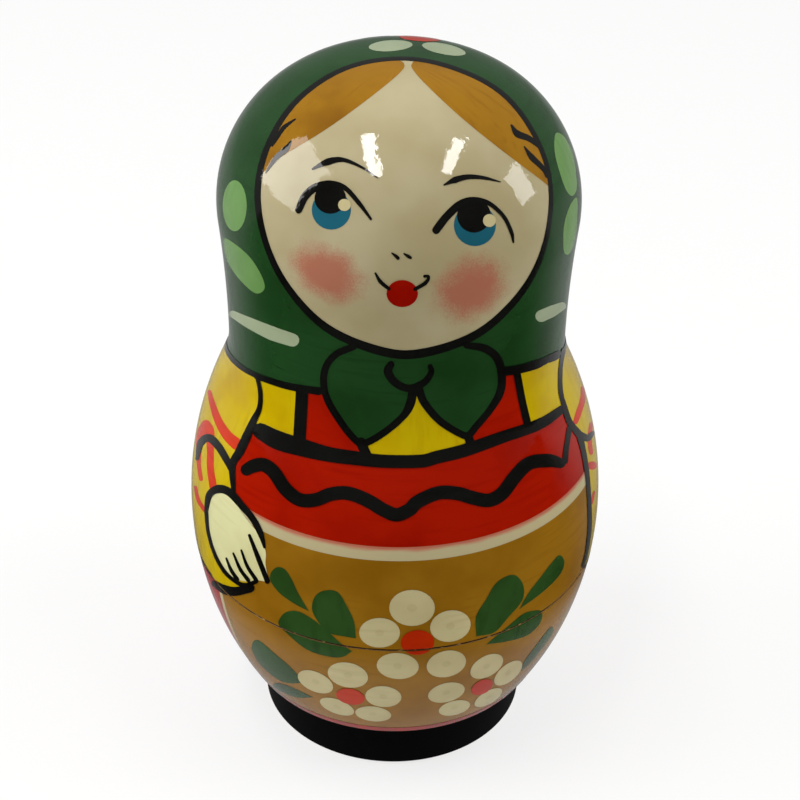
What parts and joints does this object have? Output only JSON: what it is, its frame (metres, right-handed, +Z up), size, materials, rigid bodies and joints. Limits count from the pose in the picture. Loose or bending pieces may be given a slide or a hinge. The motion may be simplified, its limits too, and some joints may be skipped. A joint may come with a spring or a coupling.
{
  "type": "matryoshka nesting doll",
  "caption": "Turned wooden nesting doll: a hollow figure with a tapered body, a round head and a foot, parting at a spigot seam, with smaller dolls of the same shape inside.",
  "frame": {"origin": "centre of the foot's flat bottom", "axes": "+Z up along the axis that the dolls are turned about, -Y towards the painted face, +X to the right of someone who faces the doll"},
  "size_m": [0.091, 0.091, 0.1601],
  "materials": {
    "lacquered_top": "painted and gloss lacquered outside, bare turned linden inside",
    "lacquered_bottom": "painted and gloss lacquered outside, bare turned linden inside",
    "lacquered_doll": "painted and gloss lacquered"
  },
  "bodies": {
    "outer_bottom": {"outer_bottom": "lacquered_bottom"},
    "second_bottom": {"second_bottom": "lacquered_bottom"},
    "third_bottom": {"third_bottom": "lacquered_bottom"},
    "fourth_bottom": {"fourth_bottom": "lacquered_bottom"},
    "fifth_bottom": {"fifth_bottom": "lacquered_bottom"},
    "sixth_bottom": {"sixth_bottom": "lacquered_bottom"},
    "innermost_doll": {"innermost_doll": "lacquered_doll"},
    "sixth_top": {"sixth_top": "lacquered_top"},
    "fifth_top": {"fifth_top": "lacquered_top"},
    "fourth_top": {"fourth_top": "lacquered_top"},
    "third_top": {"third_top": "lacquered_top"},
    "second_top": {"second_top": "lacquered_top"},
    "outer_top": {"outer_top": "lacquered_top"}
  },
  "joints": [
    {"name": "second_lift", "type": "slide", "parent": "outer_bottom", "child": "second_bottom", "axis": [0, 0, 1], "range_m": [0, 0.044]},
    {"name": "third_lift", "type": "slide", "parent": "second_bottom", "child": "third_bottom", "axis": [0, 0, 1], "range_m": [0, 0.037]},
    {"name": "fourth_lift", "type": "slide", "parent": "third_bottom", "child": "fourth_bottom", "axis": [0, 0, 1], "range_m": [0, 0.031]},
    {"name": "fifth_lift", "type": "slide", "parent": "fourth_bottom", "child": "fifth_bottom", "axis": [0, 0, 1], "range_m": [0, 0.023]},
    {"name": "sixth_lift", "type": "slide", "parent": "fifth_bottom", "child": "sixth_bottom", "axis": [0, 0, 1], "range_m": [0, 0.018]},
    {"name": "innermost_lift", "type": "slide", "parent": "sixth_bottom", "child": "innermost_doll", "axis": [0, 0, 1], "range_m": [0, 0.014]},
    {"name": "sixth_top_lift", "type": "slide", "parent": "innermost_doll", "child": "sixth_top", "axis": [0, 0, 1], "range_m": [0, 0.025]},
    {"name": "fifth_top_lift", "type": "slide", "parent": "sixth_top", "child": "fifth_top", "axis": [0, 0, 1], "range_m": [0, 0.036]},
    {"name": "fourth_top_lift", "type": "slide", "parent": "fifth_top", "child": "fourth_top", "axis": [0, 0, 1], "range_m": [0, 0.048]},
    {"name": "third_top_lift", "type": "slide", "parent": "fourth_top", "child": "third_top", "axis": [0, 0, 1], "range_m": [0, 0.065]},
    {"name": "second_top_lift", "type": "slide", "parent": "third_top", "child": "second_top", "axis": [0, 0, 1], "range_m": [0, 0.083]},
    {"name": "outer_top_lift", "type": "slide", "parent": "second_top", "child": "outer_top", "axis": [0, 0, 1], "range_m": [0, 0.103]}
  ]
}
